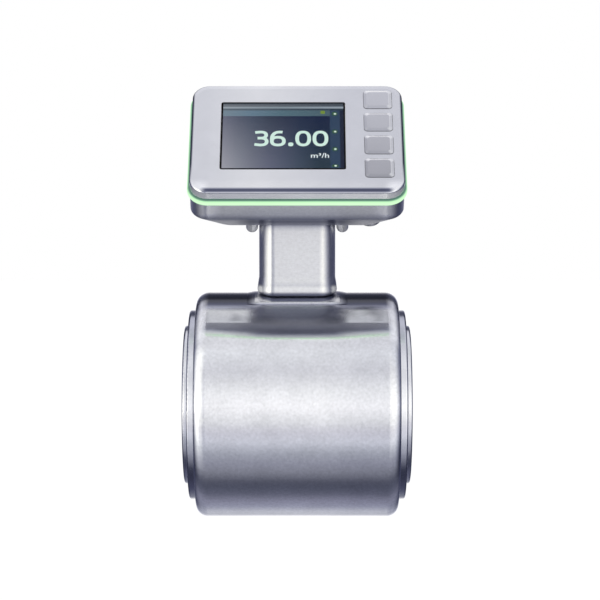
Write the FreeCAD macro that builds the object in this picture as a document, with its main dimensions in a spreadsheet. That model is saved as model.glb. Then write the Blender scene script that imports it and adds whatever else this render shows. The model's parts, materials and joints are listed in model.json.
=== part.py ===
"""Hygienic electromagnetic flow meter with an inclined display head.

The origin is the middle of the flow bore. +X runs along the flow, +Z points up
the neck, and the display looks towards -Y and up. Lengths are millimetres.
Pieces of the head are drawn in the head's own frame: X across the display, Y up
the display, Z out of it, with its origin at the centre of the bezel's face.
"""
import os
import re
import FreeCAD
import Part
import Sketcher
from math import pi

SIZES = {
    # sensor drum and the stepped discs at its ends
    "drum_radius": 57.1,
    "drum_step": 6,
    "drum_wall": 3,
    "drum_round": 6,
    "disc_margin": 9.1,
    "disc_step": 2.5,
    "disc_depth": 10.5,
    "hub_half": 57,
    "hub_margin": 8.2,
    "edge_round": 1,
    "port_bolt_hole": 5,
    "port_bolt_depth": 9,
    # flow bore
    "bore_radius": 25,
    "liner_wall": 3,
    "flare_lip": 4,
    "flare_length": 3,
    "tube_wall": 2.5,
    "seat_gap": 0.1,
    # pad on the drum that carries the neck
    "pad_rise": 0.95,
    "pad_half": 25.2,
    "pad_slope": 4,
    "pad_angle": 47,
    "pad_round": 0.8,
    # electrodes, measured outwards from the tube
    "pin_radius": 2,
    "pin_gap": 0.05,
    "pin_reach": 11.4,
    "pin_recess": 0.2,
    "sleeve_wall": 2,
    "sleeve_flange": 6,
    "sleeve_flange_length": 2,
    "sleeve_reach": 5.4,
    "nut_flats": 7,
    "nut_length": 3.2,
    # magnet system
    "pole_wall": 2.5,
    "pole_half": 20,
    "pole_angle": 70,
    "core_radius": 9,
    "yoke_space": 2.6,
    "yoke_wall": 2,
    "yoke_half": 30,
    "coil_radius": 19,
    "coil_space": 4.9,
    "coil_gap": 0.4,
    # electronics at the root of the neck
    "module_width": 22,
    "module_depth": 18,
    "module_height": 14,
    "loom_radius": 2.5,
    # neck, its levels measured up from the drum's crown
    "neck_width": 38.3,
    "neck_depth": 35,
    "neck_corner": 8,
    "neck_wall": 3.5,
    "foot_flare": 1.1,
    "foot_level": 0.4,
    "waist_flare": 0.6,
    "waist_level": 4.9,
    "flare_level": 8.5,
    "foot_round": 2.2,
    # head
    "head_tilt": 45,
    "head_forward": 17.7,
    "head_height": 135.4,
    "face_width": 106,
    "face_height": 76,
    "face_corner": 9,
    "bezel_depth": 4.8,
    "crown_width": 2.8,
    "crown_drop": 0.25,
    "bezel_round": 0.9,
    "bezel_front": 3.2,
    "bezel_rim": 3.4,
    "rim_corner": 4,
    "gasket": 0.7,
    "gasket_inset": 0.9,
    "ring_depth": 3.2,
    "ring_proud": 1.3,
    "ring_round": 1,
    "shell_gasket": 0.3,
    "shell_straight": 10.5,
    "shell_taper": 11.2,
    "shell_wall": 2.5,
    "back_side": 4,
    "back_low": 6.5,
    "back_high": 2,
    "back_corner": 18,
    "back_round": 2.5,
    # display window
    "window_left": 14.65,
    "window_right": 28.75,
    "window_low": 15.55,
    "window_high": 12.55,
    "window_corner": 1.2,
    "window_glass": 1.8,
    "window_ledge": 1.2,
    "window_bond": 0.3,
    "window_gap": 0.15,
    # display module
    "panel_side": 0.7,
    "panel_depth": 2.4,
    "holder_rim": 1.4,
    "board_rear": 9,
    "board_thick": 1.6,
    "board_margin": 1.5,
    # keys
    "key_count": 4,
    "key_inset": 12.35,
    "key_low": 9.9,
    "key_high": 4.2,
    "key_space": 2.9,
    "key_width": 14.6,
    "key_corner": 2,
    "key_gap": 0.2,
    "key_proud": 0.8,
    "key_bevel": 1.5,
    "key_slope": 0.6,
    "key_round": 0.8,
    "key_lip": 0.6,
    "key_lip_depth": 1,
    "key_stem": 2,
    "key_travel": 0.5,
    "key_slack": 0.1,
    "switch_side": 6,
    "switch_body": 0.8,
    "switch_button": 1.5,
    # cover screws
    "screw_across": 45.4,
    "screw_low": 11.1,
    "screw_high": 8,
    "screw_radius": 1.6,
    "screw_head": 3.05,
    "screw_head_length": 7.5,
    "screw_seal": 0.8,
    "screw_seal_radius": 3.3,
    "screw_bite": 4,
    "pillar_radius": 3.4,
    "screw_hole_gap": 0.2,
    # boards behind the display
    "main_board_back": 6.1,
    "standoff_across": 8.5,
    "standoff_up": 3,
    "standoff_radius": 2.5,
    "power_width": 30,
    "power_height": 22,
    "power_depth": 8,
    "power_space": 6.2,
    "plug_width": 12,
    "plug_height": 9,
    "plug_depth": 4.4,
    # cable socket
    "socket_inset": 16.3,
    "socket_low": 24.9,
    "socket_radius": 6,
    "socket_length": 13.5,
    "socket_flats": 15,
    "socket_flange": 2.5,
    "socket_bore": 4.4,
    "socket_bore_depth": 9,
    "socket_nut_flats": 14.5,
    "socket_nut": 2.5,
    "socket_seal": 0.5,
    "contact_radius": 0.5,
    "contact_circle": 4,
    "contact_length": 6,
    # lamps of the light ring
    "led_length": 2,
    "led_width": 1.4,
    "led_depth": 0.8,
    "led_inset": 18,
}

# Places worked out from the sizes above, as expressions.
LINER_OUT = "(bore_radius + liner_wall)"
FLARE = "(bore_radius + liner_wall + flare_lip)"
HUB_RADIUS = f"({FLARE} + hub_margin)"
DISC_RADIUS = "(drum_radius - disc_margin)"
DISC_HALF = "(hub_half - disc_step)"
DRUM_HALF = "(hub_half - drum_step)"
TUBE_IN = f"({LINER_OUT} + seat_gap)"
TUBE_OUT = f"({LINER_OUT} + seat_gap + tube_wall)"
TUBE_HALF = "(hub_half - flare_length - seat_gap)"
PIN_END = f"({TUBE_OUT} + pin_reach)"
SLEEVE_END = f"({TUBE_OUT} + sleeve_reach)"
PAD_RADIUS = "(drum_radius + pad_rise)"
POLE_IN = f"({TUBE_OUT} + seat_gap)"
POLE_OUT = f"({POLE_IN} + pole_wall)"
YOKE_IN = "(drum_radius - drum_wall - yoke_space - yoke_wall)"
YOKE_OUT = "(drum_radius - drum_wall - yoke_space)"
COIL_BASE = f"({POLE_OUT} + coil_gap)"
MODULE_BASE = f"({YOKE_OUT} + seat_gap)"
MODULE_TOP = f"({MODULE_BASE} + module_height)"
PASSAGE = ("neck_width - 2*neck_wall", "neck_depth - 2*neck_wall", "neck_corner - neck_wall")
RING_FRONT = "(bezel_depth + gasket)"
RING_BACK = f"({RING_FRONT} + ring_depth)"
SHELL_FRONT = f"({RING_BACK} + shell_gasket)"
SHELL_BEND = f"({SHELL_FRONT} + shell_straight)"
SHELL_BACK = f"({SHELL_BEND} + shell_taper)"
SHELL_FLOOR = f"({SHELL_BACK} - shell_wall)"
GLASS_SEAT = "(window_glass + window_bond)"
PANEL_FRONT = "(bezel_front + window_gap)"
BOARD_FRONT = "(board_rear - board_thick)"
BOSS_END = f"({SHELL_FRONT} - seat_gap)"
MAIN_BACK = f"({SHELL_FLOOR} - main_board_back)"
MAIN_FRONT = f"({MAIN_BACK} - board_thick)"
PLUG_BACK = f"({MAIN_BACK} + plug_depth)"
LIP_FRONT = "(bezel_front + key_gap)"
LIP_BACK = f"({LIP_FRONT} + key_lip_depth)"
SWITCH_FRONT = f"({BOARD_FRONT} - switch_body)"
BUTTON_FRONT = f"({SWITCH_FRONT} - key_slack)"
STEM_BACK = f"({BUTTON_FRONT} - key_slack - key_travel)"
KEY_ACROSS = "(face_width/2 - key_inset)"
KEY_PITCH = "((face_height - key_low - key_high + key_space)/key_count)"
KEY_HEIGHT = f"({KEY_PITCH} - key_space)"
SOCKET_PLACE = ("(face_width/2 - socket_inset)", "(socket_low - face_height/2)")
SCREW_LOW = "(screw_low - face_height/2)"
SCREW_HIGH = "(face_height/2 - screw_high)"

# Where a level height meets the head's face plane: up the display, and out of it.
HEAD_UP = "(head_forward*cos(head_tilt) + (HEIGHT - head_height)*sin(head_tilt))"
HEAD_OUT = "((HEIGHT - head_height)*cos(head_tilt) - head_forward*sin(head_tilt))"
# How far up the display the loom's centre line meets the back of its plug.
LOOM_UP = f"(head_forward/cos(head_tilt) - {PLUG_BACK}*tan(head_tilt))"

doc = FreeCAD.newDocument("flow_meter")
sheet = doc.addObject("Spreadsheet::Sheet", "dims")
for row, (alias, size) in enumerate(SIZES.items(), start=1):
    sheet.set(f"A{row}", alias)
    sheet.set(f"B{row}", str(size))
    sheet.setAlias(f"B{row}", alias)
doc.recompute()

PARTS = []


def named(text):
    """Point each size in an expression at its cell in the sheet."""
    return re.sub(r"[a-z_]+", lambda word: f"dims.{word[0]}" if word[0] in SIZES else word[0], str(text))


def number(text):
    """Work out an expression in numbers."""
    filled = re.sub(r"[a-z_]+", lambda word: f"({SIZES[word[0]]})" if word[0] in SIZES else word[0], str(text))
    return FreeCAD.Units.Quantity(filled).Value


def bind(target, prop, text):
    target.setExpression(prop, named(text))


def origin_feature(body, role):
    return [item for item in body.Origin.OriginFeatures if item.Role == role][0]


def new_body(label, in_head=False, several=False):
    body = doc.addObject("PartDesign::Body", label)
    body.Label = label
    body.AllowCompound = several
    if in_head:
        bind(body, "Placement", "placement(vector(0; -head_forward; head_height);"
                                " rotation(vector(1; 0; 0); head_tilt))")
    PARTS.append(body)
    return body


def new_sketch(body, name, plane="XY_Plane", lift="0", across="0", up="0"):
    sketch = body.newObject("Sketcher::SketchObject", f"{body.Name}_{name}")
    sketch.AttachmentSupport = [(origin_feature(body, plane), "")]
    sketch.MapMode = "FlatFace"
    bind(sketch, "AttachmentOffset.Base.x", across)
    bind(sketch, "AttachmentOffset.Base.y", up)
    bind(sketch, "AttachmentOffset.Base.z", lift)
    return sketch


def level_sketch(body, name, height):
    """A sketch of a head piece that lies level at a height above the flow axis."""
    sketch = body.newObject("Sketcher::SketchObject", f"{body.Name}_{name}")
    sketch.AttachmentSupport = [(origin_feature(body, "XY_Plane"), "")]
    sketch.MapMode = "FlatFace"
    up = HEAD_UP.replace("HEIGHT", height)
    out = HEAD_OUT.replace("HEIGHT", height)
    bind(sketch, "AttachmentOffset", f"placement(vector(0; {up}; {out}); rotation(vector(1; 0; 0); -head_tilt))")
    return sketch


def constrain(sketch, kind, *elements, to=None):
    """Add a constraint; one with a size starts at its value and is bound to it."""
    if to is None:
        sketch.addConstraint(Sketcher.Constraint(kind, *elements))
        return
    index = sketch.addConstraint(Sketcher.Constraint(kind, *elements, number(to)))
    bind(sketch, f"Constraints[{index}]", to)


def point(x, y):
    return FreeCAD.Vector(number(x), number(y), 0)


def draw_polygon(sketch, corners):
    """A closed outline of straight lines through corners given as expressions."""
    first = sketch.GeometryCount
    count = len(corners)
    for index, corner in enumerate(corners):
        following = corners[(index + 1) % count]
        sketch.addGeometry(Part.LineSegment(point(*corner), point(*following)), False)
    for index, corner in enumerate(corners):
        constrain(sketch, "Coincident", first + index, 2, first + (index + 1) % count, 1)
        constrain(sketch, "DistanceX", -1, 1, first + index, 1, to=corner[0])
        constrain(sketch, "DistanceY", -1, 1, first + index, 1, to=corner[1])


def draw_circle(sketch, radius, across="0", up="0"):
    circle = Part.Circle(point(across, up), FreeCAD.Vector(0, 0, 1), number(radius))
    index = sketch.addGeometry(circle, False)
    constrain(sketch, "DistanceX", -1, 1, index, 3, to=across)
    constrain(sketch, "DistanceY", -1, 1, index, 3, to=up)
    constrain(sketch, "Radius", index, to=radius)


def draw_box(sketch, width, height, corner, across="0", up="0"):
    """A rectangle with rounded corners round a centre."""
    left, right = f"{across} - ({width})/2", f"{across} + ({width})/2"
    low, high = f"{up} - ({height})/2", f"{up} + ({height})/2"
    inner_left, inner_right = f"{left} + {corner}", f"{right} - ({corner})"
    inner_low, inner_high = f"{low} + {corner}", f"{high} - ({corner})"
    ends = [((inner_left, low), (inner_right, low)), ((right, inner_low), (right, inner_high)),
            ((inner_right, high), (inner_left, high)), ((left, inner_high), (left, inner_low))]
    centres = [(inner_right, inner_low), (inner_right, inner_high),
               (inner_left, inner_high), (inner_left, inner_low)]
    lines = []
    arcs = []
    for side, (start, end) in enumerate(ends):
        lines.append(sketch.addGeometry(Part.LineSegment(point(*start), point(*end)), False))
        circle = Part.Circle(point(*centres[side]), FreeCAD.Vector(0, 0, 1), number(corner))
        turn = (side - 1)*pi/2
        arcs.append(sketch.addGeometry(Part.ArcOfCircle(circle, turn, turn + pi/2), False))
    for side in range(4):
        constrain(sketch, "Tangent", lines[side], 2, arcs[side], 1)
        constrain(sketch, "Tangent", arcs[side], 2, lines[(side + 1) % 4], 1)
        constrain(sketch, "Vertical" if side % 2 else "Horizontal", lines[side])
    for arc in arcs[1:]:
        constrain(sketch, "Equal", arcs[0], arc)
    constrain(sketch, "Radius", arcs[0], to=corner)
    constrain(sketch, "DistanceX", -1, 1, lines[3], 1, to=left)
    constrain(sketch, "DistanceX", -1, 1, lines[1], 1, to=right)
    constrain(sketch, "DistanceY", -1, 1, lines[0], 1, to=low)
    constrain(sketch, "DistanceY", -1, 1, lines[2], 1, to=high)


def draw_hexagon(sketch, flats, across="0", up="0"):
    """A hexagon with two corners on its horizontal line, by its width across flats."""
    side = f"({flats})/2/cos(30)"
    corners = [(f"{across} + {side}*cos({60*turn})", f"{up} + {side}*sin({60*turn})") for turn in range(6)]
    draw_polygon(sketch, corners)


def feature(body, kind, name, profile):
    item = body.newObject(f"PartDesign::{kind}", f"{body.Name}_{name}")
    item.Profile = profile
    return item


def pad(body, name, profile, length):
    item = feature(body, "Pad", name, profile)
    bind(item, "Length", length)
    return item


def pocket(body, name, profile, length=None, forward=False):
    """Cut away what lies behind a profile, or in front of it, for a length or all through."""
    item = feature(body, "Pocket", name, profile)
    if length:
        bind(item, "Length", length)
    else:
        item.Type = "ThroughAll"
    item.Reversed = forward
    return item


def revolve(body, name, profile, axis, angle=None, cut=False):
    item = feature(body, "Groove" if cut else "Revolution", name, profile)
    item.ReferenceAxis = axis
    if angle:
        item.Midplane = True
        bind(item, "Angle", angle)
    else:
        item.Angle = 360
    return item


def body_axis(body, role):
    return (origin_feature(body, role), [""])


def fillet(body, name, base, radius, chosen):
    """Round the edges of a feature that a test picks."""
    doc.recompute()
    edges = [f"Edge{index}" for index, edge in enumerate(base.Shape.Edges, start=1) if chosen(edge)]
    item = body.newObject("PartDesign::Fillet", f"{body.Name}_{name}")
    item.Base = (base, edges)
    bind(item, "Radius", radius)
    return item


def level_at(height):
    """Tells the edges that lie level at a height in the body's own frame."""
    place = number(height)
    return lambda edge: max(abs(edge.BoundBox.ZMin - place), abs(edge.BoundBox.ZMax - place)) < 1e-4


def along_flow(radius):
    """Tells the straight edges that run along the flow at a radius."""
    size = number(radius)

    def chosen(edge):
        box = edge.BoundBox
        away = box.Center.cross(FreeCAD.Vector(1, 0, 0)).Length
        return box.YLength + box.ZLength < 1e-6 and abs(away - size) < 1e-4
    return chosen


def beyond(height, width, depth):
    """Tells the edges level at a height whose middles lie outside a rectangle round the axis."""
    level = level_at(height)
    half_width, half_depth = number(width)/2, number(depth)/2

    def chosen(edge):
        middle = edge.BoundBox.Center
        return level(edge) and (abs(middle.x) > half_width or abs(middle.y) > half_depth)
    return chosen


def ring_at(reach, radius):
    """Tells the circles round the flow axis at a distance along it and a radius."""
    place, size = number(reach), number(radius)

    def chosen(edge):
        box = edge.BoundBox
        return max(abs(box.XMin - place), abs(box.XMax - place), abs(box.ZMax - size)) < 1e-4
    return chosen


# ---------------------------------------------------------------- sensor

def drum_shell():
    """Drum jacket with rounded rims and the raised pad under the neck."""
    body = new_body("drum_shell")
    hole = f"({DISC_RADIUS} + seat_gap)"
    inside = f"({DRUM_HALF} - drum_wall)"
    lining = "(drum_radius - drum_wall)"
    jacket = new_sketch(body, "jacket", "XZ_Plane")
    draw_polygon(jacket, [
        (f"-{DRUM_HALF}", hole), (f"-{DRUM_HALF}", "drum_radius"), (DRUM_HALF, "drum_radius"),
        (DRUM_HALF, hole), (inside, hole), (inside, lining), (f"-{inside}", lining), (f"-{inside}", hole)])
    turned = revolve(body, "turned", jacket, body_axis(body, "X_Axis"))
    rims = [ring_at(DRUM_HALF, "drum_radius"), ring_at(f"-{DRUM_HALF}", "drum_radius")]
    fillet(body, "rims", turned, "drum_round", lambda edge: any(rim(edge) for rim in rims))
    outline = new_sketch(body, "pad_outline", "XZ_Plane")
    root = "(drum_radius - drum_wall/2)"
    top_half = "(pad_half - pad_slope)"
    draw_polygon(outline, [
        ("-pad_half", root), ("-pad_half", "drum_radius"), (f"-{top_half}", PAD_RADIUS),
        (top_half, PAD_RADIUS), ("pad_half", "drum_radius"), ("pad_half", root)])
    raised = revolve(body, "pad", outline, body_axis(body, "X_Axis"), "pad_angle")
    fillet(body, "pad_ends", raised, "pad_round", along_flow(PAD_RADIUS))
    opening = new_sketch(body, "opening", lift=PAD_RADIUS)
    draw_box(opening, *PASSAGE)
    pocket(body, "wiring_hole", opening, "drum_radius/2")


def end_flange(label, turn):
    """Stepped disc that closes an end of the drum and carries the tapped port holes."""
    body = new_body(label)
    body.Placement = FreeCAD.Placement(FreeCAD.Vector(), FreeCAD.Rotation(FreeCAD.Vector(0, 0, 1), turn))
    inner = f"({DISC_HALF} - disc_depth)"
    tube_hole = f"({TUBE_OUT} + seat_gap)"
    recess = f"({FLARE} + seat_gap)"
    section = new_sketch(body, "section", "XZ_Plane")
    draw_polygon(section, [
        (inner, tube_hole), (inner, DISC_RADIUS), (DISC_HALF, DISC_RADIUS), (DISC_HALF, HUB_RADIUS),
        ("hub_half", HUB_RADIUS), ("hub_half", recess), (TUBE_HALF, recess), (TUBE_HALF, tube_hole)])
    turned = revolve(body, "turned", section, body_axis(body, "X_Axis"))
    rims = [ring_at(DISC_HALF, DISC_RADIUS), ring_at("hub_half", HUB_RADIUS)]
    fillet(body, "edges", turned, "edge_round", lambda edge: any(rim(edge) for rim in rims))
    spot = new_sketch(body, "bolt_spot", "YZ_Plane", lift="hub_half")
    circle = f"({FLARE} + {HUB_RADIUS})/2"
    draw_circle(spot, "port_bolt_hole/2", f"{circle}*cos(45)", f"{circle}*sin(45)")
    hole = pocket(body, "bolt_hole", spot, "port_bolt_depth")
    doc.recompute()
    pattern = body.newObject("PartDesign::PolarPattern", f"{label}_bolt_holes")
    pattern.Originals = [hole]
    pattern.Axis = body_axis(body, "X_Axis")
    pattern.Angle = 360
    pattern.Occurrences = 4
    body.Tip = pattern


def radial_hole(body, name, radius):
    """A hole through a tube from front to rear, along Y."""
    spot = new_sketch(body, name + "_spot", "XZ_Plane", lift="drum_radius")
    draw_circle(spot, radius)
    pocket(body, name, spot)


def measuring_tube():
    body = new_body("measuring_tube")
    section = new_sketch(body, "section", "XZ_Plane")
    draw_polygon(section, [(f"-{TUBE_HALF}", TUBE_IN), (f"-{TUBE_HALF}", TUBE_OUT),
                           (TUBE_HALF, TUBE_OUT), (TUBE_HALF, TUBE_IN)])
    revolve(body, "turned", section, body_axis(body, "X_Axis"))
    radial_hole(body, "electrode_holes", "pin_radius + sleeve_wall + seat_gap")


def liner():
    """Fluoropolymer lining with flared ends that the port seals press on."""
    body = new_body("liner")
    neck = "(hub_half - flare_length)"
    section = new_sketch(body, "section", "XZ_Plane")
    draw_polygon(section, [
        ("-hub_half", "bore_radius"), ("-hub_half", FLARE), (f"-{neck}", FLARE), (f"-{neck}", LINER_OUT),
        (neck, LINER_OUT), (neck, FLARE), ("hub_half", FLARE), ("hub_half", "bore_radius")])
    revolve(body, "turned", section, body_axis(body, "X_Axis"))
    radial_hole(body, "electrode_holes", "pin_radius + pin_gap")


def electrode(side, turn):
    """Measuring electrode with its insulating sleeve and nut, drawn along -Y."""
    facing = FreeCAD.Placement(FreeCAD.Vector(), FreeCAD.Rotation(FreeCAD.Vector(0, 0, 1), turn))
    start = "(bore_radius + pin_recess)"
    pin = new_body(f"electrode_{side}")
    disc = new_sketch(pin, "disc", "XZ_Plane", lift=start)
    draw_circle(disc, "pin_radius")
    pad(pin, "rod", disc, f"{PIN_END} - {start}")
    sleeve = new_body(f"electrode_sleeve_{side}")
    barrel = new_sketch(sleeve, "barrel", "XZ_Plane", lift=f"{LINER_OUT} + seat_gap")
    draw_circle(barrel, "pin_radius + sleeve_wall")
    draw_circle(barrel, "pin_radius + pin_gap")
    pad(sleeve, "tube", barrel, f"{SLEEVE_END} - {LINER_OUT} - seat_gap")
    shoulder = new_sketch(sleeve, "shoulder", "XZ_Plane", lift=f"{TUBE_OUT} + seat_gap")
    draw_circle(shoulder, "sleeve_flange")
    draw_circle(shoulder, "pin_radius + pin_gap")
    pad(sleeve, "flange", shoulder, "sleeve_flange_length")
    nut = new_body(f"electrode_nut_{side}")
    hexagon = new_sketch(nut, "hexagon", "XZ_Plane", lift=f"{SLEEVE_END} + pin_gap")
    draw_hexagon(hexagon, "nut_flats")
    draw_circle(hexagon, "pin_radius + pin_gap")
    pad(nut, "prism", hexagon, "nut_length")
    for body in (pin, sleeve, nut):
        body.Placement = facing


def magnet(side, turn):
    """Pole piece and coil of one side of the magnet system, drawn upwards."""
    facing = FreeCAD.Placement(FreeCAD.Vector(), FreeCAD.Rotation(FreeCAD.Vector(1, 0, 0), turn))
    pole = new_body(f"pole_piece_{side}")
    plate = new_sketch(pole, "plate", "XZ_Plane")
    draw_polygon(plate, [("-pole_half", POLE_IN), ("-pole_half", POLE_OUT),
                         ("pole_half", POLE_OUT), ("pole_half", POLE_IN)])
    revolve(pole, "shoe", plate, body_axis(pole, "X_Axis"), "pole_angle")
    disc = new_sketch(pole, "disc", lift=f"{POLE_IN} + pole_wall/2")
    draw_circle(disc, "core_radius")
    pad(pole, "core", disc, f"{YOKE_IN} - {POLE_IN}")
    trim = new_sketch(pole, "trim", "XZ_Plane")
    draw_polygon(trim, [("-2*core_radius", f"{YOKE_IN} - seat_gap"), ("-2*core_radius", "2*drum_radius"),
                        ("2*core_radius", "2*drum_radius"), ("2*core_radius", f"{YOKE_IN} - seat_gap")])
    revolve(pole, "crown", trim, body_axis(pole, "X_Axis"), cut=True)
    coil = new_body(f"coil_{side}")
    winding = new_sketch(coil, "winding", lift=COIL_BASE)
    draw_circle(winding, "coil_radius")
    draw_circle(winding, "core_radius + coil_gap")
    wound = pad(coil, "wound", winding, f"{YOKE_IN} - coil_space - {COIL_BASE}")
    fillet(coil, "edges", wound, "edge_round", lambda edge: edge.BoundBox.ZLength < 1e-6
           and abs(edge.BoundBox.XLength/2 - number("coil_radius")) < 1e-3)
    for body in (pole, coil):
        body.Placement = facing


def field_yoke():
    body = new_body("field_yoke")
    section = new_sketch(body, "section", "XZ_Plane")
    draw_polygon(section, [("-yoke_half", YOKE_IN), ("-yoke_half", YOKE_OUT),
                           ("yoke_half", YOKE_OUT), ("yoke_half", YOKE_IN)])
    revolve(body, "turned", section, body_axis(body, "X_Axis"))


def sensor_module():
    """Potted block on top of the yoke that joins the coils and electrodes to the loom."""
    body = new_body("sensor_module")
    outline = new_sketch(body, "outline", lift=MODULE_BASE)
    draw_box(outline, "module_width", "module_depth", "edge_round")
    block = pad(body, "block", outline, "module_height")
    fillet(body, "edges", block, "edge_round/2", level_at(MODULE_TOP))


def signal_loom():
    """Sheathed loom that runs up the neck, from the sensor module to its plug."""
    body = new_body("signal_loom")
    disc = new_sketch(body, "disc", lift=f"{MODULE_TOP} + seat_gap")
    draw_circle(disc, "loom_radius")
    plug_height = f"(head_height + head_forward - {PLUG_BACK}/cos(head_tilt))"
    pad(body, "run", disc, f"{plug_height} - loom_radius*tan(head_tilt) - seat_gap*2 - {MODULE_TOP}")


# ---------------------------------------------------------------- head

def plate(label, sizes, front, back, hole=None):
    """A flat piece of the head between two depths behind the bezel's face."""
    body = new_body(label, in_head=True)
    outline = new_sketch(body, "outline", lift=f"-({back})")
    draw_box(outline, *sizes)
    if hole:
        draw_box(outline, *hole)
    pad(body, "slab", outline, f"{back} - ({front})")
    return body


def inset(amount, corner=None):
    """Width, height and corner of the head's outline, moved in by an amount."""
    return f"face_width - 2*({amount})", f"face_height - 2*({amount})", corner or f"face_corner - ({amount})"


def back_inset(amount):
    """Width, height, corner and centre of the head's back face, moved in by an amount."""
    return (f"face_width - 2*(back_side + {amount})", f"face_height - back_low - back_high - 2*({amount})",
            f"back_corner - ({amount})", "0", "(back_low - back_high)/2")


def window_inset(amount, corner):
    """Width, height, corner and centre of the display window, moved in by an amount."""
    return (f"face_width - window_left - window_right - 2*({amount})",
            f"face_height - window_low - window_high - 2*({amount})", corner,
            "(window_left - window_right)/2", "(window_low - window_high)/2")


def screw_spots(sketch, radius):
    for across in ("screw_across/2", "-screw_across/2"):
        for up in (SCREW_LOW, SCREW_HIGH):
            draw_circle(sketch, radius, across, up)


def key_places():
    """Centres of the keys, from the top down."""
    return [(KEY_ACROSS, f"(face_height/2 - key_high - {KEY_HEIGHT}/2 - {index}*{KEY_PITCH})")
            for index in range(SIZES["key_count"])]


def neck_section(body, name, level, flare):
    """Rounded section of the neck at a level above the drum's crown, wider by a flare all round."""
    section = level_sketch(body, name, f"(drum_radius + {level})")
    draw_box(section, f"neck_width + 2*{flare}", f"neck_depth + 2*{flare}", f"neck_corner + {flare}")
    return section


def head_housing():
    """Rear shell of the head, tapered behind its straight wall and cast in one with the neck."""
    body = new_body("head_housing", in_head=True)
    rim = new_sketch(body, "rim", lift=f"-{SHELL_BEND}")
    draw_box(rim, *inset("0"))
    pad(body, "wall", rim, "shell_straight")
    bend = new_sketch(body, "bend", lift=f"-{SHELL_BEND}")
    draw_box(bend, *inset("0"))
    back = new_sketch(body, "back", lift=f"-{SHELL_BACK}")
    draw_box(back, *back_inset("0"))
    taper = body.newObject("PartDesign::AdditiveLoft", "head_housing_taper")
    taper.Profile = bend
    taper.Sections = [back]
    fillet(body, "back_edges", taper, "back_round", level_at(f"-{SHELL_BACK}"))

    column = neck_section(body, "column", "flare_level", "0")
    pad(body, "neck", column, "head_height - drum_radius - flare_level")
    foot = neck_section(body, "foot", "foot_level", "foot_flare")
    waist = neck_section(body, "waist", "waist_level", "waist_flare")
    flare = body.newObject("PartDesign::AdditiveLoft", "head_housing_flare")
    flare.Profile = foot
    flare.Sections = [waist, column]
    base = neck_section(body, "base", "foot_level", "foot_flare")
    pad(body, "base_block", base, "drum_radius/2").Reversed = True

    cavity = new_sketch(body, "cavity", lift=f"-{SHELL_BEND}")
    draw_box(cavity, *inset("shell_wall"))
    pocket(body, "hollow", cavity, forward=True)
    rear = new_sketch(body, "rear_cavity", lift=f"-{SHELL_FLOOR}")
    draw_box(rear, *back_inset("shell_wall"))
    pocket(body, "rear_hollow", rear, forward=True)
    bosses = new_sketch(body, "pillar_spots", lift=f"-{SHELL_FLOOR} - shell_wall/2")
    screw_spots(bosses, "pillar_radius")
    pad(body, "pillars", bosses, f"{SHELL_FLOOR} - {SHELL_FRONT} + shell_wall/2")
    passage = level_sketch(body, "passage", "drum_radius/2")
    draw_box(passage, *PASSAGE)
    pocket(body, "wiring_passage", passage, forward=True)
    screws = new_sketch(body, "screw_hole_spots")
    screw_spots(screws, "screw_radius + screw_hole_gap")
    pocket(body, "screw_holes", screws)
    socket = new_sketch(body, "socket_spot")
    draw_circle(socket, "socket_radius + screw_hole_gap", *SOCKET_PLACE)
    pocket(body, "socket_hole", socket)
    saddle = new_sketch(body, "saddle", "YZ_Plane")
    draw_circle(saddle, f"{PAD_RADIUS} + seat_gap", HEAD_UP.replace("HEIGHT", "0"),
                HEAD_OUT.replace("HEIGHT", "0"))
    cut = pocket(body, "saddle_cut", saddle)
    cut.Midplane = True
    doc.recompute()
    seat = number(f"{PAD_RADIUS} + seat_gap")
    half_width, half_depth = [number(f"{side} + neck_wall")/2 for side in PASSAGE[:2]]

    def on_saddle(edge):
        """Tells the outer edges that lie on the drum's pad."""
        spots = [body.Placement.multVec(edge.valueAt(value)) for value in edge.ParameterRange]
        spots.append(body.Placement.multVec(edge.valueAt(sum(edge.ParameterRange)/2)))
        seated = all(abs((spot.y**2 + spot.z**2)**0.5 - seat) < 1e-3 for spot in spots)
        return seated and (abs(spots[2].x) > half_width or abs(spots[2].y) > half_depth)
    fillet(body, "foot_edge", cut, "foot_round", on_saddle)


def gasket_frame(label, front, back):
    return plate(label, inset("gasket_inset"), front, back, inset("bezel_rim", "rim_corner"))


def light_ring():
    """Translucent frame between bezel and housing that shows the state by its colour."""
    body = plate("light_ring", inset("-ring_proud"), RING_FRONT, RING_BACK, inset("bezel_rim", "rim_corner"))
    width, height = inset("bezel_rim/2")[:2]
    faces = [beyond(f"-{RING_FRONT}", width, height), beyond(f"-{RING_BACK}", width, height)]
    fillet(body, "edges", body.Tip, "ring_round", lambda edge: any(face(edge) for face in faces))


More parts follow.
